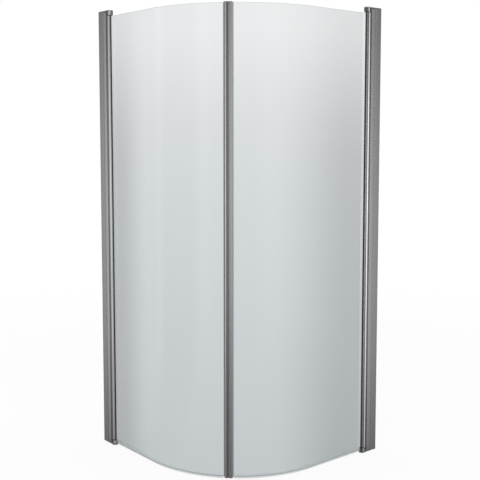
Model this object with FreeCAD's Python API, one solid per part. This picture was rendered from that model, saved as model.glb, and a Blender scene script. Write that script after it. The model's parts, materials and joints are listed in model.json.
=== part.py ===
"""Corner shower enclosure: two curved glass doors that swing on posts fixed to two walls.

Millimetres, +Z up. The origin is on the floor, in the middle of the plan. One wall stands along the
-X side and the other along the +Y side. The left unit is modelled in place, and the right unit is its
mirror image across the diagonal that runs out of the corner.
"""
import FreeCAD
import Part
import math
import os

# Whole enclosure
wall_to_glass = 888.0          # wall face to the middle plane of the flat glass
overall_height = 2000.0        # floor to the top of the upper brackets
bend_radius = 480.0            # middle of the curved glass
glass_thickness = 6.0
glass_arris = 0.6              # ground corner of the glass edges
glass_floor_gap = 16.0         # floor to the lower edge of the glass
glass_notch_gap = 2.0          # cut-out of the glass to the lower knuckle
glass_notch_radius = 5.0

# Clearances
cut_overrun = 1.0              # how far a cutting shape runs past the face that it cuts
same_place = 0.01              # points nearer than this are one place
nest_clearance = 0.05          # between fixed pieces that nest, on each side
slide_clearance = 0.2          # jamb in its wall channel, on each side
running_clearance = 0.05       # pivot pin in its bush, on the radius
thrust_clearance = 0.3         # bush flange to bracket knuckle
seat_gap = 1.5                 # hinge post to the hollow seat of the jamb, on the radius
seal_tip_gap = 0.3             # jamb seal to the hinge post
seam_gap = 0.6                 # between the two magnet strips when both doors are closed

# Wall channel, screwed to the wall
channel_depth = 34.0
channel_width = 24.0
channel_wall = 1.2
channel_lip_bevel = 0.9        # slanted outer corners of its mouth
wall_hole_radius = 2.75
wall_hole_count = 4
wall_hole_end = 169.0          # channel end to its first wall hole

# Jamb profile, slides in the channel to take up walls that are out of plumb
jamb_insert = 20.0             # length held in the channel
jamb_wall = 1.6
hinge_from_wall = 71.0         # wall face to the door's turning axis
seat_wall = 2.0                # wall behind the hollow seat
groove_width = 3.4             # groove that holds the jamb seal
groove_depth = 3.0
lip_radius = 1.2               # rounded lips beside the hinge post

# Hinge post, a round bar with a bore for the bushes and a glazing slot
post_radius = 13.0
post_wall = 6.5
slot_web = 1.5                 # wall between the bore and the glazing slot
nose_reach = 15.0              # turning axis to the mouth of the glazing slot
nose_arm = 2.4                 # wall beside the mouth of the glazing slot
nose_bevel = 1.0
gasket_wall = 1.5
post_gasket_bead = 1.0         # how far the gasket of the post shows past the mouth of its slot
closing_gasket_bead = 3.5      # how far the gasket of the closing profile shows past its slot

# Brackets, pivots and bushes
bracket_plate = 6.0            # plate across the profile ends
knuckle_height = 22.0
knuckle_clearance = 0.5        # knuckle in the seat of the jamb, on the radius
knuckle_reach = 8.0            # how far the knuckle is drawn out past the axis
plug_depth = 20.0              # plug of a bracket in the hollow of the jamb
plug_clearance = 0.3
pin_radius = 4.0
pin_seat_depth = 15.0          # length of pin held in the knuckle
pin_reach = 24.0               # length of pin that stands out of the knuckle
bush_flange = 2.0
bush_length = 30.0             # length of bush in the bore of the post

# Clamp screws, one at each end of a wall profile
clamp_screw_radius = 1.9
clamp_screw_grip = 6.0         # length of screw in the bracket's plug
clamp_screw_head_radius = 3.4
clamp_screw_head_height = 2.2
clamp_from_mouth = 7.0         # channel mouth to the clamp screws

# Closing profiles, magnet strips and their caps
closing_thickness = 16.0
closing_back_radius = 4.0      # rounded corners towards the glass
closing_front_radius = 1.5     # rounded corners towards the seam
closing_slot_depth = 8.0
closing_web = 2.4              # between the glazing slot and the magnet channel
closing_floor_gap = 10.0       # floor to the lower end cap
closing_cap_plate = 2.5
closing_cap_tongue = 8.0
magnet_proud = 2.2             # how far a magnet strip stands out of its profile
magnet_channel_depth = 4.6
magnet_lip = 1.4               # lips that hold the strip in its channel
magnet_neck_width = 6.0
magnet_root_width = 9.0
magnet_head_width = 11.0
magnet_head_edge = 0.9         # slanted corners of the strip's face
magnet_bar_thickness = 1.2
magnet_bar_width = 8.0
magnet_bar_end = 4.0           # strip end to bar end

# Bottom seal, clipped on the lower edge of the glass
seal_wall = 1.0
seal_grip = 11.0               # height of the clip's legs on the glass
seal_base = 2.2
seal_floor_gap = 7.0           # floor to the tip of the fin
seal_fin = 1.6                 # root of the tapered fin
seal_drip_reach = 8.0          # drip lip, towards the inside
seal_drip_drop = 5.0
seal_end_gap = 1.0             # to the cut-out of the glass and to the closing gasket

# Sizes that follow from the driving dimensions
seat_radius = post_radius + seat_gap
knuckle_radius = seat_radius - knuckle_clearance
footprint = wall_to_glass + max(knuckle_radius, channel_width / 2)
corner_x = -footprint / 2
corner_y = footprint / 2
channel_half = channel_width / 2
jamb_half = channel_half - channel_wall - slide_clearance
jamb_hollow_half = jamb_half - jamb_wall
jamb_back = channel_depth - jamb_insert
groove_floor = hinge_from_wall - seat_radius - groove_depth
keeper_back = groove_floor - jamb_wall
profile_low = bracket_plate
profile_high = overall_height - bracket_plate
bore_radius = post_radius - post_wall
post_low = knuckle_height + thrust_clearance + bush_flange
post_high = overall_height - post_low
slot_half = glass_thickness / 2 + gasket_wall + 2 * nest_clearance
slot_floor = hinge_from_wall + bore_radius + slot_web
nose_end = hinge_from_wall + nose_reach
glass_start = slot_floor + gasket_wall + 2 * nest_clearance
glass_low = glass_floor_gap
knuckle_end = hinge_from_wall + knuckle_reach + knuckle_radius
notch_end = max(knuckle_end, nose_end + post_gasket_bead) + glass_notch_gap
glass_high = post_high - closing_cap_plate
flat_end = wall_to_glass - bend_radius
closing_front = seam_gap / 2 + magnet_proud
closing_back = closing_front + magnet_channel_depth + closing_web + closing_slot_depth
closing_half = closing_thickness / 2
closing_slot_floor = closing_back - closing_slot_depth
glass_end = closing_slot_floor + gasket_wall + 2 * nest_clearance
closing_low = closing_floor_gap + closing_cap_plate
closing_high = glass_high
plug_half = jamb_hollow_half - plug_clearance
clamp_place = channel_depth - clamp_from_mouth
clamp_height = bracket_plate + plug_depth / 2
clamp_shank = channel_half - plug_half + clamp_screw_grip
UP = FreeCAD.Vector(0, 0, 1)
OUT = FreeCAD.Vector(0, -1, 0)


def at(s, t, z):
    """A point of the left unit: s out from its wall, t outwards from the middle of the glass."""
    return FreeCAD.Vector(corner_x + s, corner_y - wall_to_glass - t, z)


def seam(u, n, z):
    """A point by the closing edge: u along the glass towards the seam, n outwards from the glass."""
    diagonal = math.sqrt(0.5)
    middle = at(flat_end, -bend_radius, z)
    outward = FreeCAD.Vector(diagonal, -diagonal, 0)
    along = FreeCAD.Vector(diagonal, diagonal, 0)
    return middle + outward * (bend_radius + n) + along * u


def closed(shape):
    """The shape with its skin facing outwards."""
    if shape.Volume < 0:
        shape.reverse()
    return shape


def sheet(ring):
    """A flat face inside a ring of points."""
    return Part.Face(Part.makePolygon(ring + ring[:1]))


def prism(frame, outline, low, high):
    """An upright solid with the given plan outline."""
    return closed(sheet([frame(p, q, low) for p, q in outline]).extrude(UP * (high - low)))


def bar(frame, near, far, inside, outside, low, high):
    """An upright solid with a rectangular plan."""
    outline = [(near, inside), (far, inside), (far, outside), (near, outside)]
    return prism(frame, outline, low, high)


def rod(s, t, radius, low, high):
    """An upright round bar of the left unit."""
    return Part.makeCylinder(radius, high - low, at(s, t, low), UP)


def along_glass(section, start, end):
    """A section of (n, z) points carried along the glass, from start on the flat to end before the seam."""
    run = sheet([at(start, n, z) for n, z in section])
    straight = closed(run.extrude(at(flat_end, 0, 0) - at(start, 0, 0)))
    turn = math.degrees(math.pi / 4 - end / bend_radius)
    root = sheet([at(flat_end, n, z) for n, z in section])
    bend = closed(root.revolve(at(flat_end, -bend_radius, 0), UP, turn))
    return straight.fuse(bend).removeSplitter()


def upright_edges(shape, frame, places):
    """The upright edges that stand on the given plan places."""
    chosen = []
    for edge in shape.Edges:
        first = edge.Vertexes[0].Point
        last = edge.Vertexes[-1].Point
        foot = FreeCAD.Vector(first.x, first.y, 0)
        head = FreeCAD.Vector(last.x, last.y, 0)
        for p, q in places:
            spot = frame(p, q, 0)
            if foot.isEqual(spot, same_place) and head.isEqual(spot, same_place):
                chosen.append(edge)
    return chosen


def spread(low, high, count):
    """Evenly spaced heights from low to high."""
    return [low + (high - low) * i / (count - 1) for i in range(count)]


def flipped(shape):
    """The same piece at the other end of the enclosure's height."""
    return shape.mirror(FreeCAD.Vector(0, 0, overall_height / 2), UP)


def clamp_hole():
    """Hole for the lower clamp screw: through the channel's inner cheek and the jamb, into the plug."""
    radius = clamp_screw_radius + nest_clearance
    start = at(clamp_place, -channel_half - cut_overrun, clamp_height)
    reach = cut_overrun + clamp_shank + nest_clearance
    return Part.makeCylinder(radius, reach, start, OUT)


def wall_channel():
    """U-shaped extrusion with holes for the wall screws in its web."""
    body = bar(at, 0, channel_depth, -channel_half, channel_half, profile_low, profile_high)
    inner = channel_half - channel_wall
    low, high = profile_low - cut_overrun, profile_high + cut_overrun
    body = body.cut(bar(at, channel_wall, channel_depth + cut_overrun, -inner, inner, low, high))
    lips = upright_edges(body, at, [(channel_depth, -channel_half), (channel_depth, channel_half)])
    body = body.makeChamfer(channel_lip_bevel, lips)
    first, last = profile_low + wall_hole_end, profile_high - wall_hole_end
    inward = FreeCAD.Vector(1, 0, 0)
    reach = channel_wall + 2 * cut_overrun
    for height in spread(first, last, wall_hole_count):
        start = at(-cut_overrun, 0, height)
        body = body.cut(Part.makeCylinder(wall_hole_radius, reach, start, inward))
    return body.cut([clamp_hole(), flipped(clamp_hole())])


def jamb_profile():
    """Hollow extrusion with a seal groove and a hollow seat round the hinge post."""
    low, high = profile_low, profile_high
    axis = hinge_from_wall
    over_low, over_high = low - cut_overrun, high + cut_overrun
    body = bar(at, jamb_back, axis, -jamb_half, jamb_half, low, high)
    hollow = bar(at, jamb_back + jamb_wall, axis, -jamb_hollow_half, jamb_hollow_half, over_low, over_high)
    hollow = hollow.cut(rod(axis, 0, seat_radius + seat_wall, over_low, over_high))
    body = body.cut(hollow)
    keeper_half = groove_width / 2 + jamb_wall
    keeper = bar(at, keeper_back, axis, -keeper_half, keeper_half, low, high)
    body = body.fuse(keeper).removeSplitter()
    body = body.cut(rod(axis, 0, seat_radius, over_low, over_high))
    groove_half = groove_width / 2
    body = body.cut(bar(at, groove_floor, axis, -groove_half, groove_half, over_low, over_high))
    lip_place = axis - math.sqrt(seat_radius ** 2 - jamb_half ** 2)
    lips = upright_edges(body, at, [(lip_place, -jamb_half), (lip_place, jamb_half)])
    body = body.makeFillet(lip_radius, lips)
    return body.cut([clamp_hole(), flipped(clamp_hole())])


def jamb_seal():
    """Soft strip with a round lip, held in the groove of the jamb's seat."""
    half = groove_width / 2 - nest_clearance
    tip = hinge_from_wall - post_radius - seal_tip_gap
    floor = groove_floor + nest_clearance
    low, high = knuckle_height + nest_clearance, overall_height - knuckle_height - nest_clearance
    stem = bar(at, floor, tip - half, -half, half, low, high)
    return stem.fuse(rod(tip - half, 0, half, low, high)).removeSplitter()


def lower_bracket():
    """Moulded foot: a plate across the profile ends and a drawn-out knuckle that carries the pivot pin."""
    axis = hinge_from_wall
    tip = axis + knuckle_reach
    plate = bar(at, 0, axis, -channel_half, channel_half, 0, bracket_plate)
    knuckle = rod(axis, 0, knuckle_radius, 0, knuckle_height)
    knuckle = knuckle.fuse(bar(at, axis, tip, -knuckle_radius, knuckle_radius, 0, knuckle_height))
    knuckle = knuckle.fuse(rod(tip, 0, knuckle_radius, 0, knuckle_height))
    body = plate.fuse(knuckle).removeSplitter()
    plug_near = jamb_back + jamb_wall + plug_clearance
    plug_far = keeper_back - plug_clearance
    plug_high = bracket_plate + plug_depth
    body = body.fuse(bar(at, plug_near, plug_far, -plug_half, plug_half, bracket_plate, plug_high))
    pin_foot = knuckle_height - pin_seat_depth
    pin_hole = rod(axis, 0, pin_radius + nest_clearance, pin_foot, knuckle_height + cut_overrun)
    return body.removeSplitter().cut([pin_hole, clamp_hole()])


def lower_pivot_pin():
    """Steel pin that stands in the lower knuckle."""
    foot = knuckle_height - pin_seat_depth
    return rod(hinge_from_wall, 0, pin_radius, foot, knuckle_height + pin_reach)


def pivot_pins():
    """The lower and the upper pivot pin, as one group."""
    return Part.makeCompound([lower_pivot_pin(), flipped(lower_pivot_pin())])


def lower_bush():
    """Flanged bush in the lower end of the hinge post."""
    axis = hinge_from_wall
    flange_low = post_low - bush_flange
    high = post_low + bush_length
    body = rod(axis, 0, post_radius, flange_low, post_low)
    body = body.fuse(rod(axis, 0, bore_radius - nest_clearance, post_low, high)).removeSplitter()
    bore = rod(axis, 0, pin_radius + running_clearance, flange_low - cut_overrun, high + cut_overrun)
    return body.cut(bore)


def pivot_bushes():
    """The bushes in the two ends of the hinge post, as one group."""
    return Part.makeCompound([lower_bush(), flipped(lower_bush())])


def lower_clamp_screw():
    """Screw that holds the channel, the jamb and the lower bracket together, from inside the enclosure."""
    face = at(clamp_place, -channel_half, clamp_height)
    crown = face - OUT * clamp_screw_head_height
    head = Part.makeCylinder(clamp_screw_head_radius, clamp_screw_head_height, crown, OUT)
    shank = Part.makeCylinder(clamp_screw_radius, clamp_shank, face, OUT)
    return head.fuse(shank).removeSplitter()


def clamp_screws():
    """The lower and the upper clamp screw, as one group."""
    return Part.makeCompound([lower_clamp_screw(), flipped(lower_clamp_screw())])


def hinge_post():
    """Round bar with a bore for the bushes and a short nose, which holds the glass in a slot."""
    axis = hinge_from_wall
    nose_half = slot_half + nose_arm
    over_low, over_high = post_low - cut_overrun, post_high + cut_overrun
    nose = bar(at, axis, nose_end, -nose_half, nose_half, post_low, post_high)
    body = rod(axis, 0, post_radius, post_low, post_high).fuse(nose).removeSplitter()
    mouth = upright_edges(body, at, [(nose_end, -nose_half), (nose_end, nose_half)])
    body = body.makeChamfer(nose_bevel, mouth)
    body = body.cut(rod(axis, 0, bore_radius, over_low, over_high))
    return body.cut(bar(at, slot_floor, nose_end + cut_overrun, -slot_half, slot_half, over_low, over_high))


def glass_section(grow):
    """Upright section of the glass, larger by grow all round, with ground corners."""
    half = glass_thickness / 2 + grow
    low, high = glass_low - grow, glass_high + grow
    return [(-half + glass_arris, low), (half - glass_arris, low),
            (half, low + glass_arris), (half, high - glass_arris),
            (half - glass_arris, high), (-half + glass_arris, high),
            (-half, high - glass_arris), (-half, low + glass_arris)]


def hinge_notch():
    """Cut-out at the lower hinge corner of the glass, with a rounded inner corner."""
    near, low = glass_start - cut_overrun, glass_low - cut_overrun
    half = glass_thickness / 2 + cut_overrun
    block = bar(at, near, notch_end, -half, half, low, post_low)
    corner = at(notch_end, 0, post_low)
    inner = [edge for edge in block.Edges if edge.CenterOfMass.isEqual(corner, same_place)]
    return block.makeFillet(glass_notch_radius, inner)


def curved_glass():
    """Toughened pane: a flat run out of the hinge post that bends towards the seam."""
    return along_glass(glass_section(0), glass_start, glass_end).cut(hinge_notch())


def glass_room():
    """Room for the glass and its clearance, open above and below the gaskets."""
    half = glass_thickness / 2 + nest_clearance
    low, high = closing_low - cut_overrun, post_high + cut_overrun
    section = [(-half, low), (half, low), (half, high), (-half, high)]
    return along_glass(section, glass_start - nest_clearance, glass_end - nest_clearance)


def post_gasket():
    """U-shaped gasket between the glass and the slot of the hinge post."""
    half = slot_half - nest_clearance
    near, far = slot_floor + nest_clearance, nose_end + post_gasket_bead
    body = bar(at, near, far, -half, half, post_low, glass_high)
    return body.cut(glass_room())


def closing_gasket():
    """U-shaped gasket between the glass and the slot of the closing profile."""
    half = slot_half - nest_clearance
    near, far = -closing_back - closing_gasket_bead, -closing_slot_floor - nest_clearance
    return bar(seam, near, far, -half, half, glass_low, glass_high).cut(glass_room())


def magnet_outline(gap):
    """Plan of a magnet strip that keeps a gap to the walls of its channel."""
    neck = magnet_neck_width / 2 - gap
    root = magnet_root_width / 2 - gap
    head = magnet_head_width / 2
    back = -closing_front - magnet_channel_depth + gap
    lip = -closing_front - magnet_lip - gap
    shoulder = -closing_front + gap
    face = -seam_gap / 2
    edge = magnet_head_edge
    upper = [(back, root), (lip, root), (lip, neck), (shoulder, neck),
             (shoulder, head), (face - edge, head), (face, head - edge)]
    return upper + [(u, -n) for u, n in reversed(upper)]


def closing_block(low, high):
    """Outer form of a closing profile, with rounded corners."""
    body = bar(seam, -closing_back, -closing_front, -closing_half, closing_half, low, high)
    backs = [(-closing_back, -closing_half), (-closing_back, closing_half)]
    fronts = [(-closing_front, -closing_half), (-closing_front, closing_half)]
    body = body.makeFillet(closing_back_radius, upright_edges(body, seam, backs))
    return body.makeFillet(closing_front_radius, upright_edges(body, seam, fronts))


def closing_profile():
    """Extrusion on the free edge of the glass, with a glazing slot and a channel for the magnet strip."""
    over_low, over_high = closing_low - cut_overrun, closing_high + cut_overrun
    body = closing_block(closing_low, closing_high)
    slot_mouth = -closing_back - cut_overrun
    slot = bar(seam, slot_mouth, -closing_slot_floor, -slot_half, slot_half, over_low, over_high)
    root_half = magnet_root_width / 2
    neck_half = magnet_neck_width / 2
    back = -closing_front - magnet_channel_depth
    root = bar(seam, back, -closing_front - magnet_lip, -root_half, root_half, over_low, over_high)
    neck = bar(seam, back, -closing_front + cut_overrun, -neck_half, neck_half, over_low, over_high)
    return body.cut([slot, root, neck])


def strip_heights():
    """Lower and upper end of the magnet strip, between the tongues of the two end caps."""
    inset = closing_cap_tongue + nest_clearance
    return closing_low + inset, closing_high - inset


def bar_room(gap):
    """Plan room of the magnet bar inside the head of its strip, larger by gap on each side."""
    middle = -(closing_front + seam_gap / 2) / 2
    half_thickness = magnet_bar_thickness / 2 + gap
    half_width = magnet_bar_width / 2 + gap
    low, high = strip_heights()
    inset = magnet_bar_end - gap
    near, far = middle - half_thickness, middle + half_thickness
    return bar(seam, near, far, -half_width, half_width, low + inset, high - inset)


def magnet_strip():
    """Soft carrier that snaps in the closing profile and holds the magnet bar at the seam."""
    low, high = strip_heights()
    return prism(seam, magnet_outline(nest_clearance), low, high).cut(bar_room(nest_clearance))


def magnet_bar():
    """Flexible magnet sealed in the strip."""
    return bar_room(0)


def closing_cap(plate_low, plate_high, tongue_low, tongue_high):
    """End cap of a closing profile, with a tongue in the magnet channel."""
    plate = closing_block(plate_low, plate_high)
    low, high = min(plate_low, tongue_low), max(plate_high, tongue_high)
    return plate.fuse(prism(seam, magnet_outline(nest_clearance), low, high)).removeSplitter()


def closing_top_cap():
    """Upper end cap of the closing profile."""
    return closing_cap(closing_high, closing_high + closing_cap_plate,
                       closing_high - closing_cap_tongue, closing_high)


def closing_bottom_cap():
    """Lower end cap of the closing profile, with a block that carries the glass in its slot."""
    cap = closing_cap(closing_low - closing_cap_plate, closing_low,
                      closing_low, closing_low + closing_cap_tongue)
    half = slot_half - nest_clearance
    near, far = -closing_back + closing_back_radius, -closing_slot_floor - nest_clearance
    low, high = closing_low - closing_cap_plate / 2, glass_low - nest_clearance
    return cap.fuse(bar(seam, near, far, -half, half, low, high)).removeSplitter()


def bottom_seal():
    """Clip-on seal along the lower edge of the glass, with a tapered fin and a drip lip inside."""
    inner = glass_thickness / 2 + nest_clearance
    outer = inner + seal_wall
    high = glass_low + seal_grip
    base_high = glass_low - nest_clearance
    base_low = base_high - seal_base
    fin = seal_fin / 2
    drip = outer + seal_drip_reach
    drip_low = base_low - seal_drip_drop
    section = [(inner, high), (inner, base_high), (-inner, base_high), (-inner, high),
               (-outer, high), (-outer, base_low + seal_wall), (-drip, drip_low), (-outer, base_low),
               (-fin, base_low), (0, seal_floor_gap), (fin, base_low), (outer, base_low), (outer, high)]
    return along_glass(section, notch_end + seal_end_gap, closing_back + closing_gasket_bead + seal_end_gap)


left_unit = {
    "wall_channel": wall_channel(),
    "jamb_profile": jamb_profile(),
    "jamb_seal": jamb_seal(),
    "clamp_screws": clamp_screws(),
    "bottom_bracket": lower_bracket(),
    "top_bracket": flipped(lower_bracket()),
    "pivot_pins": pivot_pins(),
    "hinge_post": hinge_post(),
    "pivot_bushes": pivot_bushes(),
    "post_gasket": post_gasket(),
    "curved_glass": curved_glass(),
    "closing_gasket": closing_gasket(),
    "closing_profile": closing_profile(),
    "closing_top_cap": closing_top_cap(),
    "closing_bottom_cap": closing_bottom_cap(),
    "magnet_strip": magnet_strip(),
    "magnet_bar": magnet_bar(),
    "bottom_seal": bottom_seal(),
}

os.makedirs("parts", exist_ok=True)
for name, shape in left_unit.items():
    mirrored = shape.mirror(FreeCAD.Vector(0, 0, 0), FreeCAD.Vector(1, 1, 0))
    shape.exportStep(f"parts/left_{name}.step")
    mirrored.exportStep(f"parts/right_{name}.step")
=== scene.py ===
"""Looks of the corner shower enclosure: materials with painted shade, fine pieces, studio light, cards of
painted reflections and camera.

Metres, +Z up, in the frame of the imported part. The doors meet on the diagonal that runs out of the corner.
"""
import json
import math

import bmesh
import bpy
from mathutils import Matrix, Vector


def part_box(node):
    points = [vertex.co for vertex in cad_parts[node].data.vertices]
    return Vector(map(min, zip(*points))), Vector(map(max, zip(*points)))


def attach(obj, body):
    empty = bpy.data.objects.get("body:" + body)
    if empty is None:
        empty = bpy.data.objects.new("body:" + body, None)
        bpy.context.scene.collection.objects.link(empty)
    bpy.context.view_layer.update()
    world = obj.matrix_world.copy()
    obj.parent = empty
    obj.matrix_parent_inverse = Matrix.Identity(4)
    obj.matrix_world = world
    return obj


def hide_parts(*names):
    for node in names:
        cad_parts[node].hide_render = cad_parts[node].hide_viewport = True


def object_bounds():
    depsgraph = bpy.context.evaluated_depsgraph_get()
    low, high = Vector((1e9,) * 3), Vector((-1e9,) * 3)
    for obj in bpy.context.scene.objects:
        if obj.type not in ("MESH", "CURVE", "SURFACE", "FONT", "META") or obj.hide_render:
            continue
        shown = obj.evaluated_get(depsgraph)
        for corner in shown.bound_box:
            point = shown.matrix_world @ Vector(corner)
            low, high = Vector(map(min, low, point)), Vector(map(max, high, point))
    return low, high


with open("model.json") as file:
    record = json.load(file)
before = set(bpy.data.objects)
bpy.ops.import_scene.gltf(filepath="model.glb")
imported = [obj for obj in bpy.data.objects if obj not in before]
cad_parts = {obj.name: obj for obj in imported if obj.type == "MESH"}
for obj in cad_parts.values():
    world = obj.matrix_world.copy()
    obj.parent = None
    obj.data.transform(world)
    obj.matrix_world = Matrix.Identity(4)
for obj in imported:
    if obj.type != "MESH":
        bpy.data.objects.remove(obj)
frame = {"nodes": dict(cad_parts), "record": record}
cad_low, cad_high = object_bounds()
nodes = frame["nodes"]
slots = {part["node"]: part["material_slot"] for part in frame["record"]["subparts"]}

# Colours, as linear red, green and blue
ALUMINIUM = (0.42, 0.42, 0.425)
BRACKET = (0.40, 0.40, 0.405)
CAP = (0.13, 0.13, 0.132)
STEEL = (0.52, 0.52, 0.53)
NYLON = (0.08, 0.08, 0.082)
MAGNET = (0.045, 0.045, 0.048)
RUBBER = (0.06, 0.06, 0.062)
SMOKED_VINYL = (0.06, 0.06, 0.062)
GREY_VINYL = (0.38, 0.38, 0.385)
SEAL_VINYL = (0.97, 0.985, 0.985)
GLASS_EDGE = (0.50, 0.68, 0.64)
FLOOR = (0.86, 0.86, 0.86)
WHITE = (1.0, 1.0, 1.0)

# Grain, as noise waves per metre along each axis, and the detail of the noise
DRAWN_GRAIN = (900.0, 900.0, 1.5)
FINE_GRAIN = (1400.0, 1400.0, 1400.0)
VINYL_GRAIN = (300.0, 300.0, 30.0)
METAL_DETAIL = 3.0
PLASTIC_DETAIL = 2.0

# Tones of the grain, as values of the noise and shares of the colour
METAL_TONES = ((0.35, 0.95), (0.65, 1.05))
PLASTIC_TONES = ((0.3, 0.92), (0.7, 1.08))
VINYL_TONES = ((0.3, 0.96), (0.7, 1.0))

# Skin: values of the noise between which the roughness changes, relief of the grain, and softened edges
GRAIN_RANGE = (0.3, 0.7)
PLASTIC_ROUGH_SPREAD = 0.05
RELIEF_STRENGTH = 0.3
METAL_RELIEF = 0.000004
PLASTIC_RELIEF = 0.00005
SKIN_EDGE = 0.0008
SKIN_EDGE_RAYS = 4

# Painted shade in the gaps and grooves of the metal: reach of the neighbours, closed and open share of sky,
# and the light left
GAP_REACH = 0.012
GAP_CLOSED = 0.08
GAP_OPEN = 0.6
GAP_LIGHT = 0.1
GAP_RAYS = 8

# Metals by slot: colour, least and greatest roughness, and grain
METALS = {
    "anodised_aluminium": (ALUMINIUM, 0.2, 0.28, DRAWN_GRAIN),
    "bracket_grey": (BRACKET, 0.2, 0.3, FINE_GRAIN),
    "stainless_steel": (STEEL, 0.18, 0.28, FINE_GRAIN),
}

# Moulded plastics by slot, by kind of piece or by node: colour and roughness
PLASTICS = {
    "grey_plastic": (CAP, 0.4),
    "dark_nylon": (NYLON, 0.45),
    "dark_magnet": (MAGNET, 0.45),
    # The right magnet strip is lighter grey than the left one: a painted highlight on that side of the seam.
    "right_magnet_strip": (GREY_VINYL, 0.4),
    "grey_seal": (RUBBER, 0.5),
    "post_gasket": (SMOKED_VINYL, 0.4),
    "closing_gasket": (GREY_VINYL, 0.4),
}

# Painted shade on the glass, deeper towards the floor: heights and the clear share that is let through
# there, in a cool grey
GLASS_HEIGHTS = (0.09, 0.33, 0.83, 1.16, 1.49, 1.88)
GLASS_SHARES = (0.62, 0.628, 0.658, 0.688, 0.735, 0.84)
GLASS_LOW_TINT = (0.942, 1.0, 1.018)
GLASS_HIGH_TINT = (0.985, 1.0, 1.01)
GLASS_TINT_POWER = 3

# Painted shade on the glass, deeper towards the hinges: shares, their heights, and distances from the
# diagonal
GLASS_SIDE_SHARE = 0.745
GLASS_SIDE_TOP_SHARE = 0.9
GLASS_SIDE_RISE = (1.35, 1.95)
GLASS_LEFT_SIDE = (-0.53, -0.36)
GLASS_RIGHT_SIDE = (0.16, 0.50)

# Ground edge of the glass, known by the upward part of its normal, and the glass as light meets it
GLASS_EDGE_LEVEL = (0.3, 0.6)
GLASS_EDGE_ROUGH = 0.3
GLASS_EDGE_CLEAR = 0.35
GLASS_REFRACTION = 1.5
GLASS_SHADOW = (0.86, 0.88, 0.89)

# Bottom seal, and its blade: heights over which its deeper tone fades, and the share let through
SEAL_ROUGH = 0.08
SEAL_REFRACTION = 1.12
SEAL_SHADOW = (0.8, 0.8, 0.8)
SEAL_BLADE_RISE = (0.016, 0.019)
SEAL_BLADE_SHARE = 0.68

# Floor, white from afar and near the object pale with a shadow, and the light of the world
FLOOR_SIZE = 80.0
FLOOR_WHITE_SHARE = 0.9
FLOOR_FADE = (0.9, 5.0)
WORLD_STRENGTH = 0.75

# Grey cards round the object, seen only in gloss, which paint dark reflections: sizes in metres, angles from
# the diagonal, and how grey they are
DIAGONAL_TURN = -math.pi / 4
CARD_INNER = 0.3
CARD_RADIUS = 3.5
CARD_LIFT = 0.001
CARD_HEIGHT = 5.0
CARD_SIDES = 96
CARD_FLOOR_GREY = 0.72
CARD_LOW = (0.9, 0.38)
CARD_HIGH = (2.5, 0.68)
SIDE_CARDS = ((-150.0, -120.0, -92.0, -78.0), (84.0, 92.0, 120.0, 150.0))
FRONT_CARDS = (((-90.0, -70.0, -45.0, -30.0), 0.75), ((-30.0, -15.0, 15.0, 35.0), 0.3))

# Glowing cards close to the object, seen only in gloss, which paint highlights and dark reflections, with
# shares of their tones by height
PAINTED_REFLECTION_SIDES = 48
PAINTED_REFLECTION_FULL = 2.8
POST_CARD_RADIUS = 0.03
SEAM_CARD_RADIUS = 0.022
POST_SHARES = ((0.0, 0.4), (0.5, 0.73), (1.13, 1.0), (1.6, 0.86), (2.0, 0.6))
SEAM_SHARES = ((0.0, 0.4), (0.35, 0.55), (0.8, 0.85), (1.2, 1.0), (1.7, 0.95), (2.0, 0.75))
WALL_SHARES = ((0.0, 0.52), (0.18, 0.67), (0.46, 0.86), (0.73, 0.97), (1.1, 1.0), (1.47, 0.92),
               (1.93, 0.7), (2.0, 0.68))

# Tones of the painted highlights and dark reflections on the curved cards round the hinge posts and round
# the seam, by the angle from the diagonal
POST_TONES = {
    "left": ((-92.0, 0.25), (-64.0, 0.3), (-46.0, 0.65), (-30.0, 0.8), (-10.0, 1.7), (26.0, 1.7),
             (44.0, 0.6), (104.0, 0.3)),
    "right": ((-95.0, 0.45), (-34.0, 0.36), (-3.0, 0.44), (20.0, 0.7), (33.0, 2.8), (54.0, 2.8),
              (61.0, 0.35), (68.0, 0.1), (88.0, 0.06)),
}
SEAM_TONES = ((-110.0, 0.16), (-47.0, 0.18), (-40.0, 1.7), (-33.0, 1.7), (-27.0, 0.3), (-14.0, 0.3),
              (-6.0, 0.75), (5.0, 0.7), (22.0, 0.78), (34.0, 0.9), (60.0, 0.9), (95.0, 0.6))

# Tones of the painted reflections on the flat cards beside the wall channels, by the distance from the
# channel
WALL_TONES = {
    "left": ((0.0, 0.6), (0.02, 0.64), (0.03, 0.85), (0.048, 1.4)),
    "right": ((0.0, 0.57), (0.02, 0.61), (0.035, 0.68), (0.05, 0.84), (0.07, 1.05)),
}

# Softened edges of the brackets and of the end caps, and angles in degrees
KNUCKLE_HEIGHT = 0.022
BRACKET_EDGE = 0.0024
KNUCKLE_EDGE = 0.0008
CAP_EDGE = 0.0007
EDGE_STEPS = 4
EDGE_PROFILE = 0.5
FLAT_ANGLE = 1.0
SMOOTH_ANGLE = 32.0
SHARP_ANGLE = 45.0
SAME_PLACE = 0.00001
PIN_ROOM = 0.006

# Clamp screws
SCREW_SIDES = 28
SCREW_HEAD_HEIGHT = 0.0022
SCREW_RADIUS = 0.0019
SCREW_ROOT = 0.0015
SCREW_PITCH = 0.0008
SCREW_STEPS_PER_TURN = 7
SCREW_FLANK = 1.6
SCREW_TIP = 0.0012
CROWN_SHARE = 0.62
RECESS_REACH = 0.0016
RECESS_HALF = 0.00042
RECESS_DEPTH = 0.0011
RECESS_FOOT_SHARE = 0.55

# Lamps: place, the point that they face, width, height and watts
LAMPS = {
    "key": ((2.6, -3.4, 3.2), (0.0, 0.0, 1.0), 1.6, 2.4, 60.0),
    "left": ((-2.6, -2.6, 1.6), (-0.3, -0.4, 1.0), 0.9, 2.6, 30.0),
    "right": ((2.6, 2.6, 1.6), (0.4, 0.3, 1.0), 0.9, 2.6, 30.0),
}

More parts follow.
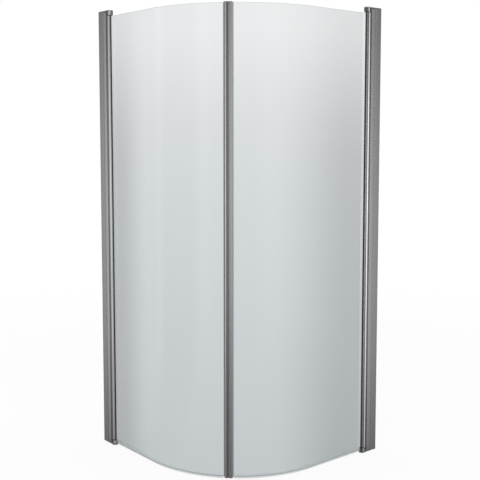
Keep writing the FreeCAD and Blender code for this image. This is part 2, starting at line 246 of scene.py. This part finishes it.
# Camera, at the photograph's angle: place, angles in degrees, and lens and sensor in millimetres
CAMERA_PLACE = (3.0365, -2.5242, 1.4466)
CAMERA_YAW = 50.123
CAMERA_PITCH = -5.0
CAMERA_LENS = 65.06
CAMERA_SENSOR = 36.0
CAMERA_SHIFT_Y = -0.0624


def new_material(name):
    """A node material, its tree and its Principled shader."""
    material = bpy.data.materials.new(name)
    material.use_nodes = True
    tree = material.node_tree
    return material, tree, tree.nodes["Principled BSDF"]


def bare_material(name):
    """A node material without a shader, and its tree."""
    material, tree, shader = new_material(name)
    tree.nodes.remove(shader)
    return material, tree


def add(tree, kind, **values):
    """A new node with some of its properties set."""
    node = tree.nodes.new(kind)
    for name, value in values.items():
        setattr(node, name, value)
    return node


def split(tree, vector):
    """The parts X, Y and Z of a vector."""
    axes = add(tree, "ShaderNodeSeparateXYZ")
    tree.links.new(vector, axes.inputs["Vector"])
    return axes.outputs


def own_place(tree):
    """The parts X, Y and Z of a point's place, in the piece's own metres."""
    return split(tree, add(tree, "ShaderNodeTexCoord").outputs["Object"])


def stretched_noise(tree, scale, detail):
    """Noise in the piece's own metres, with its own scale along each axis."""
    place = add(tree, "ShaderNodeTexCoord")
    mapping = add(tree, "ShaderNodeMapping")
    mapping.inputs["Scale"].default_value = scale
    noise = add(tree, "ShaderNodeTexNoise")
    noise.inputs["Scale"].default_value = 1.0
    noise.inputs["Detail"].default_value = detail
    tree.links.new(place.outputs["Object"], mapping.inputs["Vector"])
    tree.links.new(mapping.outputs["Vector"], noise.inputs["Vector"])
    return noise.outputs["Fac"]


def ramp_between(tree, factor, stops):
    """A colour ramp through (place, colour) stops."""
    ramp = add(tree, "ShaderNodeValToRGB")
    elements = ramp.color_ramp.elements
    for place, colour in stops[1:-1]:
        elements.new(place)
    for element, (place, colour) in zip(elements, stops):
        element.position = place
        element.color = (*colour, 1.0)
    tree.links.new(factor, ramp.inputs["Fac"])
    return ramp.outputs["Color"]


def grey_ramp(tree, value, stops, full):
    """Grey tones through (value, tone) stops, as shares of a full tone."""
    first, last = stops[0][0], stops[-1][0]
    greys = [((place - first) / (last - first), (tone / full,) * 3) for place, tone in stops]
    return ramp_between(tree, remap(tree, value, first, last), greys)


def remap(tree, value, low, high, to_low=0.0, to_high=1.0, kind="LINEAR"):
    """A value carried from one range to another."""
    node = add(tree, "ShaderNodeMapRange", interpolation_type=kind)
    node.inputs["From Min"].default_value = low
    node.inputs["From Max"].default_value = high
    node.inputs["To Min"].default_value = to_low
    node.inputs["To Max"].default_value = to_high
    tree.links.new(value, node.inputs["Value"])
    return node.outputs["Result"]


def calculate(tree, operation, *values):
    """Arithmetic on linked values."""
    node = add(tree, "ShaderNodeMath", operation=operation)
    for value, socket in zip(values, node.inputs):
        tree.links.new(value, socket)
    return node.outputs["Value"]


def multiply(tree, first, second):
    """Two colours, or a colour and a share, multiplied."""
    tone = add(tree, "ShaderNodeMix", data_type="RGBA", blend_type="MULTIPLY")
    tone.inputs["Factor"].default_value = 1.0
    tree.links.new(first, tone.inputs["A"])
    tree.links.new(second, tone.inputs["B"])
    return tone.outputs["Result"]


def show_mix(tree, factor, first, second, output="Material Output"):
    """Show the first shader, and the second as far as the factor says."""
    mix = add(tree, "ShaderNodeMixShader")
    tree.links.new(factor, mix.inputs["Fac"])
    tree.links.new(first.outputs[0], mix.inputs[1])
    tree.links.new(second.outputs[0], mix.inputs[2])
    tree.links.new(mix.outputs["Shader"], tree.nodes[output].inputs["Surface"])


def shade(colour, share):
    """The colour, lighter or darker by a share."""
    return tuple(channel * share for channel in colour)


def grained(tree, grain, colour, tones):
    """The colour, lighter and darker with the grain."""
    return ramp_between(tree, grain, [(value, shade(colour, share)) for value, share in tones])


def paint_gap_shade(tree, colour):
    """The colour with painted shade, darker where neighbours stand close, as in gaps and grooves."""
    sky = add(tree, "ShaderNodeAmbientOcclusion", samples=GAP_RAYS)
    sky.inputs["Distance"].default_value = GAP_REACH
    return multiply(tree, colour, remap(tree, sky.outputs["AO"], GAP_CLOSED, GAP_OPEN, GAP_LIGHT, 1.0))


def fine_skin(tree, shader, grain, depth):
    """Softened edges with a fine relief on top of them."""
    bevel = add(tree, "ShaderNodeBevel", samples=SKIN_EDGE_RAYS)
    bevel.inputs["Radius"].default_value = SKIN_EDGE
    relief = add(tree, "ShaderNodeBump")
    relief.inputs["Strength"].default_value = RELIEF_STRENGTH
    relief.inputs["Distance"].default_value = depth
    tree.links.new(grain, relief.inputs["Height"])
    tree.links.new(bevel.outputs["Normal"], relief.inputs["Normal"])
    tree.links.new(relief.outputs["Normal"], shader.inputs["Normal"])


def metal(name, colour, low_rough, high_rough, grain_scale):
    """Metal with a fine grain, streaks along a drawn profile or the even grain of a casting, and painted
    shade in its gaps and grooves.
    """
    material, tree, shader = new_material(name)
    grain = stretched_noise(tree, grain_scale, METAL_DETAIL)
    toned = paint_gap_shade(tree, grained(tree, grain, colour, METAL_TONES))
    rough = remap(tree, grain, *GRAIN_RANGE, low_rough, high_rough)
    tree.links.new(toned, shader.inputs["Base Color"])
    tree.links.new(rough, shader.inputs["Roughness"])
    shader.inputs["Metallic"].default_value = 1.0
    fine_skin(tree, shader, grain, METAL_RELIEF)
    return material


def moulded(name, colour, rough):
    """Moulded plastic with a faint grain."""
    material, tree, shader = new_material(name)
    grain = stretched_noise(tree, FINE_GRAIN, PLASTIC_DETAIL)
    spread = (rough - PLASTIC_ROUGH_SPREAD, rough + PLASTIC_ROUGH_SPREAD)
    tree.links.new(grained(tree, grain, colour, PLASTIC_TONES), shader.inputs["Base Color"])
    tree.links.new(remap(tree, grain, *GRAIN_RANGE, *spread), shader.inputs["Roughness"])
    fine_skin(tree, shader, grain, PLASTIC_RELIEF)
    return material


def let_light_through(tree, shader, tint):
    """Let lamps shine through the piece, so that it throws a faint shadow."""
    path = add(tree, "ShaderNodeLightPath")
    clear = add(tree, "ShaderNodeBsdfTransparent")
    clear.inputs["Color"].default_value = (*tint, 1.0)
    show_mix(tree, path.outputs["Is Shadow Ray"], shader, clear)


def glass_tint_and_painted_shade(tree):
    """Cool grey with painted shade, deeper towards the floor and, below the top, towards the hinges."""
    place = own_place(tree)
    top, lowest, highest = cad_high.z, GLASS_HEIGHTS[0], GLASS_HEIGHTS[-1]
    stops = []
    for height, share in zip(GLASS_HEIGHTS, GLASS_SHARES):
        rise = ((height - lowest) / (highest - lowest)) ** GLASS_TINT_POWER
        tint = [low + (high - low) * rise for low, high in zip(GLASS_LOW_TINT, GLASS_HIGH_TINT)]
        stops.append((height / top, shade(tint, share)))
    up = ramp_between(tree, remap(tree, place["Z"], 0.0, top), stops)
    across = calculate(tree, "ADD", place["X"], place["Y"])
    ends, begins = (distance * math.sqrt(2) for distance in GLASS_LEFT_SIDE)
    left = remap(tree, across, ends, begins, 1.0, 0.0, "SMOOTHSTEP")
    begins, ends = (distance * math.sqrt(2) for distance in GLASS_RIGHT_SIDE)
    right = remap(tree, across, begins, ends, 0.0, 1.0, "SMOOTHSTEP")
    side = calculate(tree, "MAXIMUM", left, right)
    low_depth, high_depth = 1.0 - GLASS_SIDE_SHARE, 1.0 - GLASS_SIDE_TOP_SHARE
    depth = remap(tree, place["Z"], *GLASS_SIDE_RISE, low_depth, high_depth)
    taken = calculate(tree, "MULTIPLY", side, depth)
    return multiply(tree, up, remap(tree, taken, 0.0, 1.0, 1.0, 0.0))


def glass():
    """Clear glass with painted shade in its tone, and a green ground edge above and below."""
    material, tree, shader = new_material("clear_glass")
    skin = add(tree, "ShaderNodeNewGeometry")
    level = calculate(tree, "ABSOLUTE", split(tree, skin.outputs["True Normal"])["Z"])
    edge = remap(tree, level, *GLASS_EDGE_LEVEL)
    tone = add(tree, "ShaderNodeMix", data_type="RGBA")
    tone.inputs["B"].default_value = (*GLASS_EDGE, 1.0)
    tree.links.new(edge, tone.inputs["Factor"])
    tree.links.new(glass_tint_and_painted_shade(tree), tone.inputs["A"])
    rough = remap(tree, edge, 0.0, 1.0, 0.0, GLASS_EDGE_ROUGH)
    clear = remap(tree, edge, 0.0, 1.0, 1.0, GLASS_EDGE_CLEAR)
    tree.links.new(tone.outputs["Result"], shader.inputs["Base Color"])
    tree.links.new(rough, shader.inputs["Roughness"])
    tree.links.new(clear, shader.inputs["Transmission Weight"])
    shader.inputs["IOR"].default_value = GLASS_REFRACTION
    let_light_through(tree, shader, GLASS_SHADOW)
    return material


def seal_vinyl():
    """Soft clear plastic of the bottom seal, whose blade along the floor has a deeper tone."""
    material, tree, shader = new_material("bottom_seal")
    grain = stretched_noise(tree, VINYL_GRAIN, PLASTIC_DETAIL)
    depth = remap(tree, own_place(tree)["Z"], *SEAL_BLADE_RISE, SEAL_BLADE_SHARE, 1.0)
    toned = multiply(tree, grained(tree, grain, SEAL_VINYL, VINYL_TONES), depth)
    tree.links.new(toned, shader.inputs["Base Color"])
    shader.inputs["Roughness"].default_value = SEAL_ROUGH
    shader.inputs["IOR"].default_value = SEAL_REFRACTION
    shader.inputs["Transmission Weight"].default_value = 1.0
    let_light_through(tree, shader, SEAL_SHADOW)
    return material


def in_sight(tree):
    """One for a ray from the eye, straight or by way of metal or glass, and otherwise zero."""
    rays = add(tree, "ShaderNodeLightPath").outputs
    straight_or_gloss = calculate(tree, "MAXIMUM", rays["Is Camera Ray"], rays["Is Glossy Ray"])
    return calculate(tree, "MAXIMUM", straight_or_gloss, rays["Is Transmission Ray"])


def plan_distance(tree, place):
    """Distance of a place from the upright axis of the stage."""
    flat = add(tree, "ShaderNodeCombineXYZ")
    tree.links.new(place["X"], flat.inputs["X"])
    tree.links.new(place["Y"], flat.inputs["Y"])
    length = add(tree, "ShaderNodeVectorMath", operation="LENGTH")
    tree.links.new(flat.outputs["Vector"], length.inputs[0])
    return length.outputs["Value"]


def floor_finish():
    """White to the eye, and near the object a little matt, which keeps the shadow."""
    material, tree = bare_material("floor")
    matt = add(tree, "ShaderNodeBsdfDiffuse")
    matt.inputs["Color"].default_value = (*FLOOR, 1.0)
    glow = add(tree, "ShaderNodeEmission")
    glow.inputs["Color"].default_value = (*WHITE, 1.0)
    distance = plan_distance(tree, own_place(tree))
    white = remap(tree, distance, *FLOOR_FADE, FLOOR_WHITE_SHARE, 1.0, "SMOOTHSTEP")
    show_mix(tree, calculate(tree, "MULTIPLY", in_sight(tree), white), matt, glow)
    return material


def make_floor():
    """A plain pale floor."""
    bpy.ops.mesh.primitive_plane_add(size=FLOOR_SIZE)
    floor = bpy.context.object
    floor.name = "floor"
    floor.data.materials.append(floor_finish())


def make_world():
    """White to the eye, and a soft even light."""
    world = bpy.data.worlds.new("studio")
    bpy.context.scene.world = world
    world.use_nodes = True
    tree = world.node_tree
    soft = tree.nodes["Background"]
    soft.inputs["Color"].default_value = (*WHITE, 1.0)
    soft.inputs["Strength"].default_value = WORLD_STRENGTH
    white = add(tree, "ShaderNodeBackground")
    white.inputs["Color"].default_value = (*WHITE, 1.0)
    show_mix(tree, in_sight(tree), soft, white, "World Output")


def add_object(name, data):
    """A new object in the scene."""
    item = bpy.data.objects.new(name, data)
    bpy.context.scene.collection.objects.link(item)
    return item


def mesh_of(form, name):
    """A mesh made of a form, which is then let go."""
    mesh = bpy.data.meshes.new(name)
    form.to_mesh(mesh)
    form.free()
    return mesh


def bridge(form, first, second):
    """Faces between two loops of as many points."""
    for i in range(len(first)):
        form.faces.new((first[i - 1], first[i], second[i], second[i - 1]))


def card_form():
    """A flat disc, and an upright wall round it."""
    form = bmesh.new()
    rims = []
    for radius, height in ((CARD_INNER, CARD_LIFT), (CARD_RADIUS, CARD_LIFT), (CARD_RADIUS, CARD_HEIGHT)):
        rim = bmesh.ops.create_circle(form, segments=CARD_SIDES, radius=radius)["verts"]
        bmesh.ops.translate(form, verts=rim, vec=(0.0, 0.0, height))
        rims.append(rim)
    for lower, upper in zip(rims, rims[1:]):
        bridge(form, lower, upper)
    form.faces.new(rims[0])
    return mesh_of(form, "dark_reflection_cards")


def band(tree, angle, edges, size=1.0):
    """A size within a band of angles, with soft edges, and zero outside it."""
    begins, full, fades, ends = (math.radians(edge) for edge in edges)
    rise = remap(tree, angle, begins, full, 0.0, size, "SMOOTHSTEP")
    fall = remap(tree, angle, fades, ends, 1.0, 0.0, "SMOOTHSTEP")
    return calculate(tree, "MULTIPLY", rise, fall)


def dark_reflection_finish():
    """Clear, with dark bands that stand at their angles from the diagonal, as painted dark reflections."""
    material, tree = bare_material("dark_reflection_cards")
    place = own_place(tree)
    turn = calculate(tree, "ARCTAN2", place["Y"], place["X"])
    grey = remap(tree, plan_distance(tree, place), CARD_INNER, CARD_RADIUS, CARD_FLOOR_GREY, 0.0)
    (low, low_grey), (high, high_grey) = CARD_LOW, CARD_HIGH
    side_grey = remap(tree, place["Z"], low, high, low_grey, high_grey)
    for edges in SIDE_CARDS:
        side = calculate(tree, "MULTIPLY", side_grey, band(tree, turn, edges))
        grey = calculate(tree, "MAXIMUM", grey, side)
    for edges, share in FRONT_CARDS:
        grey = calculate(tree, "MAXIMUM", grey, band(tree, turn, edges, share))
    clear = add(tree, "ShaderNodeBsdfTransparent")
    dark = add(tree, "ShaderNodeEmission")
    dark.inputs["Strength"].default_value = 0.0
    show_mix(tree, grey, clear, dark)
    return material


def set_card(name, mesh, place, turn=DIAGONAL_TURN):
    """Stand a card at a place, turned to the diagonal or as told, where only gloss shows it."""
    card = add_object(name, mesh)
    card.location = place
    card.rotation_euler.z = turn
    for kind in ("camera", "diffuse", "transmission", "shadow", "volume_scatter"):
        setattr(card, "visible_" + kind, False)


def make_dark_reflection_cards():
    """Grey cards round the object, which paint dark reflections that only gloss shows."""
    mesh = card_form()
    mesh.materials.append(dark_reflection_finish())
    set_card("dark_reflection_cards", mesh, (0.0, 0.0, 0.0))


def curved_card_form(radius, tones):
    """Part of an upright round wall, which faces its axis."""
    first, last = tones[0][0], tones[-1][0]
    form = bmesh.new()
    lower, upper = [], []
    for i in range(PAINTED_REFLECTION_SIDES + 1):
        turn = math.radians(first + (last - first) * i / PAINTED_REFLECTION_SIDES)
        x, y = radius * math.cos(turn), radius * math.sin(turn)
        lower.append(form.verts.new((x, y, CARD_LIFT)))
        upper.append(form.verts.new((x, y, cad_high.z)))
    for i in range(PAINTED_REFLECTION_SIDES):
        form.faces.new((lower[i + 1], lower[i], upper[i], upper[i + 1]))
    return mesh_of(form, "curved_reflection_card")


def painted_reflection_finish(name, tones, shares, curved):
    """Glowing in soft bands of painted highlights and dark reflections, across by the angle round its axis
    or by the distance, and clear from behind.
    """
    material, tree = bare_material(name)
    place = own_place(tree)
    across = place["X"]
    if curved:
        across = calculate(tree, "ARCTAN2", place["Y"], place["X"])
        tones = [(math.radians(angle), tone) for angle, tone in tones]
    upright_bands = grey_ramp(tree, across, tones, PAINTED_REFLECTION_FULL)
    level_bands = grey_ramp(tree, place["Z"], shares, 1.0)
    # The glow is no lamp: the card paints highlights and reflections that only gloss shows.
    painted_glow = add(tree, "ShaderNodeEmission")
    painted_glow.inputs["Strength"].default_value = PAINTED_REFLECTION_FULL
    tree.links.new(multiply(tree, upright_bands, level_bands), painted_glow.inputs["Color"])
    clear = add(tree, "ShaderNodeBsdfTransparent")
    skin = add(tree, "ShaderNodeNewGeometry")
    show_mix(tree, skin.outputs["Backfacing"], painted_glow, clear)
    material.cycles.emission_sampling = "NONE"
    return material


def middle_of(*names):
    """Middle of the boxes round some nodes, at the height of the floor."""
    boxes = [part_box(name) for name in names]
    middles = [(low + high) / 2 for low, high in boxes]
    place = sum(middles, Vector()) / len(middles)
    return (place.x, place.y, 0.0)


def make_curved_reflection_card(name, place, radius, tones, shares):
    """A curved card close round an upright axis, which paints highlights and dark reflections that only
    gloss shows.
    """
    mesh = curved_card_form(radius, tones)
    mesh.materials.append(painted_reflection_finish(name, tones, shares, True))
    set_card(name, mesh, place)


def make_wall_reflection_card(side, tones):
    """A flat card in the plane of the wall, from the outer face of the channel outwards, which paints
    reflections that only gloss shows.
    """
    low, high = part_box(f"{side}_wall_channel")
    reach, top = tones[-1][0], cad_high.z
    corners = [(0.0, 0.0, CARD_LIFT), (reach, 0.0, CARD_LIFT), (reach, 0.0, top), (0.0, 0.0, top)]
    place, turn = (high.x, high.y, 0.0), 0.0
    if side == "left":
        corners.reverse()
        place, turn = (low.x, low.y, 0.0), -math.pi / 2
    name = f"{side}_wall_reflection_card"
    mesh = bpy.data.meshes.new(name)
    mesh.from_pydata(corners, [], [range(len(corners))])
    mesh.materials.append(painted_reflection_finish(name, tones, WALL_SHARES, False))
    set_card(name, mesh, place, turn)


def make_painted_reflection_cards():
    """The glowing cards of painted highlights and reflections round the seam and the hinge posts, and beside
    the wall channels.
    """
    seam = middle_of("left_closing_profile", "right_closing_profile")
    make_curved_reflection_card("seam_reflection_card", seam, SEAM_CARD_RADIUS, SEAM_TONES, SEAM_SHARES)
    for side, tones in WALL_TONES.items():
        make_wall_reflection_card(side, tones)
    for side, tones in POST_TONES.items():
        post = middle_of(f"{side}_pivot_pins")
        make_curved_reflection_card(f"{side}_post_reflection_card", post, POST_CARD_RADIUS, tones, POST_SHARES)


def make_lamp(name, place, aim, width, height, watts):
    """A soft lamp that faces a point."""
    data = bpy.data.lights.new(name, "AREA")
    data.shape = "RECTANGLE"
    data.size = width
    data.size_y = height
    data.energy = watts
    lamp = add_object(name, data)
    lamp.location = place
    toward = Vector(aim) - Vector(place)
    lamp.rotation_euler = toward.to_track_quat("-Z", "Y").to_euler()
    lamp.visible_glossy = False
    lamp.visible_transmission = False


def make_camera():
    """The camera at the photograph's place."""
    data = bpy.data.cameras.new("camera")
    data.lens = CAMERA_LENS
    data.sensor_width = CAMERA_SENSOR
    data.shift_y = CAMERA_SHIFT_Y
    camera = add_object("camera", data)
    camera.location = CAMERA_PLACE
    camera.rotation_euler = (math.radians(90.0 + CAMERA_PITCH), 0.0, math.radians(CAMERA_YAW))
    bpy.context.scene.camera = camera


def merged_copy(node):
    """A node's form on its own, with its triangles merged into flat faces."""
    form = bmesh.new()
    corners = [form.verts.new(vertex.co) for vertex in nodes[node].data.vertices]
    for polygon in nodes[node].data.polygons:
        form.faces.new([corners[i] for i in polygon.vertices])
    bmesh.ops.remove_doubles(form, verts=form.verts, dist=SAME_PLACE)
    flat = math.radians(FLAT_ANGLE)
    bmesh.ops.dissolve_limit(form, angle_limit=flat, verts=form.verts, edges=form.edges)
    return form


def rim_at(form, height, axis=None):
    """The sharp edges that lie at a height, apart from those of a hole round an axis."""
    found = []
    for edge in form.edges:
        level = all(abs(vertex.co.z - height) < SAME_PLACE for vertex in edge.verts)
        middle = (edge.verts[0].co + edge.verts[1].co) / 2
        in_hole = axis is not None and (middle - axis).to_2d().length < PIN_ROOM
        if level and not in_hole and edge.calc_face_angle(0.0) > math.radians(SHARP_ANGLE):
            found.append(edge)
    return found


def soften(form, edges, radius):
    """Round off some edges."""
    bmesh.ops.bevel(form, geom=edges, offset=radius, segments=EDGE_STEPS, profile=EDGE_PROFILE,
                    affect="EDGES", clamp_overlap=False)


def finish_piece(form, node, body):
    """Make a piece of a form, in the place of a node."""
    bmesh.ops.recalc_face_normals(form, faces=form.faces)
    mesh = mesh_of(form, node + "_fine")
    mesh.polygons.foreach_set("use_smooth", [True] * len(mesh.polygons))
    mesh.set_sharp_from_angle(angle=math.radians(SMOOTH_ANGLE))
    mesh.materials.append(materials[slots[node]])
    piece = add_object(node + "_fine", mesh)
    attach(piece, body)
    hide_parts(node)


def make_bracket(side, end):
    """A bracket with a rounded rim and a softened knuckle."""
    node = f"{side}_{end}_bracket"
    low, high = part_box(node)
    pin_low, pin_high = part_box(f"{side}_pivot_pins")
    axis = (pin_low + pin_high) / 2
    outer, face = low.z, low.z + KNUCKLE_HEIGHT
    if end == "top":
        outer, face = high.z, high.z - KNUCKLE_HEIGHT
    form = merged_copy(node)
    soften(form, rim_at(form, outer), BRACKET_EDGE)
    soften(form, rim_at(form, face, axis), KNUCKLE_EDGE)
    finish_piece(form, node, "wall_frame")


def make_closing_cap(side, end):
    """An end cap of a closing profile, with a softened rim."""
    node = f"{side}_closing_{end}_cap"
    low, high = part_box(node)
    form = merged_copy(node)
    soften(form, rim_at(form, high.z if end == "top" else low.z), CAP_EDGE)
    finish_piece(form, node, f"{side}_door")


def screw_ring(form, depth, radius_at):
    """A ring of points round a screw's axis."""
    ring = []
    for i in range(SCREW_SIDES):
        turn = 2 * math.pi * i / SCREW_SIDES
        radius = radius_at(turn)
        ring.append(form.verts.new((radius * math.cos(turn), radius * math.sin(turn), depth)))
    return ring


def thread_radius(depth, turn, length):
    """Radius of the thread at a depth and a turn, drawn in towards the tip."""
    climb = (depth / SCREW_PITCH - turn / (2 * math.pi)) % 1.0
    flank = min(1.0, SCREW_FLANK * (1.0 - abs(2.0 * climb - 1.0)))
    taper = min(1.0, (length - depth) / SCREW_TIP)
    return SCREW_ROOT + (SCREW_RADIUS - SCREW_ROOT) * flank * taper


def cross_outline(form, depth, share):
    """Outline of the cross recess at a depth, as a loop of points."""
    reach, half = RECESS_REACH * share, RECESS_HALF * share
    quarter = [(reach, -half), (reach, half), (half, half)]
    loop = []
    for turns in range(4):
        for x, y in quarter:
            for turn in range(turns):
                x, y = -y, x
            loop.append(form.verts.new((x, y, depth)))
    return loop


def screw_form(head_radius, length):
    """A pan-head screw that runs along +Z from its crown, with a cross recess and a thread."""
    form = bmesh.new()
    crown = head_radius * CROWN_SHARE
    rings = []
    for step in range(EDGE_STEPS + 1):
        angle = math.pi / 2 * step / EDGE_STEPS
        radius = crown + (head_radius - crown) * math.sin(angle)
        depth = SCREW_HEAD_HEIGHT * CROWN_SHARE * (1.0 - math.cos(angle))
        rings.append(screw_ring(form, depth, lambda turn: radius))
    rings.append(screw_ring(form, SCREW_HEAD_HEIGHT, lambda turn: head_radius))
    count = round((length - SCREW_HEAD_HEIGHT) / SCREW_PITCH * SCREW_STEPS_PER_TURN)
    for step in range(count + 1):
        depth = SCREW_HEAD_HEIGHT + (length - SCREW_HEAD_HEIGHT) * step / count
        rings.append(screw_ring(form, depth, lambda turn: thread_radius(depth, turn, length)))
    for first, second in zip(rings, rings[1:]):
        bridge(form, first, second)
    form.faces.new(rings[-1])
    mouth = cross_outline(form, 0.0, 1.0)
    foot = cross_outline(form, RECESS_DEPTH, RECESS_FOOT_SHARE)
    bridge(form, mouth, foot)
    form.faces.new(foot)
    rims = []
    for loop in (rings[0], mouth):
        rims += [form.edges.get((loop[i - 1], loop[i])) for i in range(len(loop))]
    bmesh.ops.triangle_fill(form, use_beauty=True, use_dissolve=False, edges=rims)
    return form


def make_clamp_screws(side):
    """The lower and the upper clamp screw of a side, driven from inside the enclosure."""
    node = f"{side}_clamp_screws"
    low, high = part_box(node)
    middle = (low + high) / 2
    size = high - low
    if side == "left":
        crown, into = Vector((middle.x, high.y, 0.0)), Vector((0.0, -1.0, 0.0))
        radius, length = size.x / 2, size.y
    else:
        crown, into = Vector((low.x, middle.y, 0.0)), Vector((1.0, 0.0, 0.0))
        radius, length = size.y / 2, size.x
    turn = Vector((0.0, 0.0, 1.0)).rotation_difference(into).to_matrix().to_4x4()
    pair = bmesh.new()
    for height in (low.z + radius, high.z - radius):
        screw = screw_form(radius, length)
        crown.z = height
        bmesh.ops.transform(screw, matrix=Matrix.Translation(crown) @ turn, verts=screw.verts)
        single = mesh_of(screw, "screw")
        pair.from_mesh(single)
        bpy.data.meshes.remove(single)
    finish_piece(pair, node, "wall_frame")


materials = {"clear_glass": glass(), "bottom_seal": seal_vinyl()}
for name, looks in METALS.items():
    materials[name] = metal(name, *looks)
for name, looks in PLASTICS.items():
    materials[name] = moulded(name, *looks)
for node, piece in nodes.items():
    piece.data.materials.clear()
    kind = node.split("_", 1)[1]
    finish = next(name for name in (node, kind, slots[node]) if name in materials)
    piece.data.materials.append(materials[finish])

for side in ("left", "right"):
    make_clamp_screws(side)
    for end in ("bottom", "top"):
        make_bracket(side, end)
        make_closing_cap(side, end)

make_floor()
make_world()
make_dark_reflection_cards()
make_painted_reflection_cards()
for name, values in LAMPS.items():
    make_lamp(name, *values)
make_camera()
bpy.context.scene.view_settings.view_transform = "Standard"
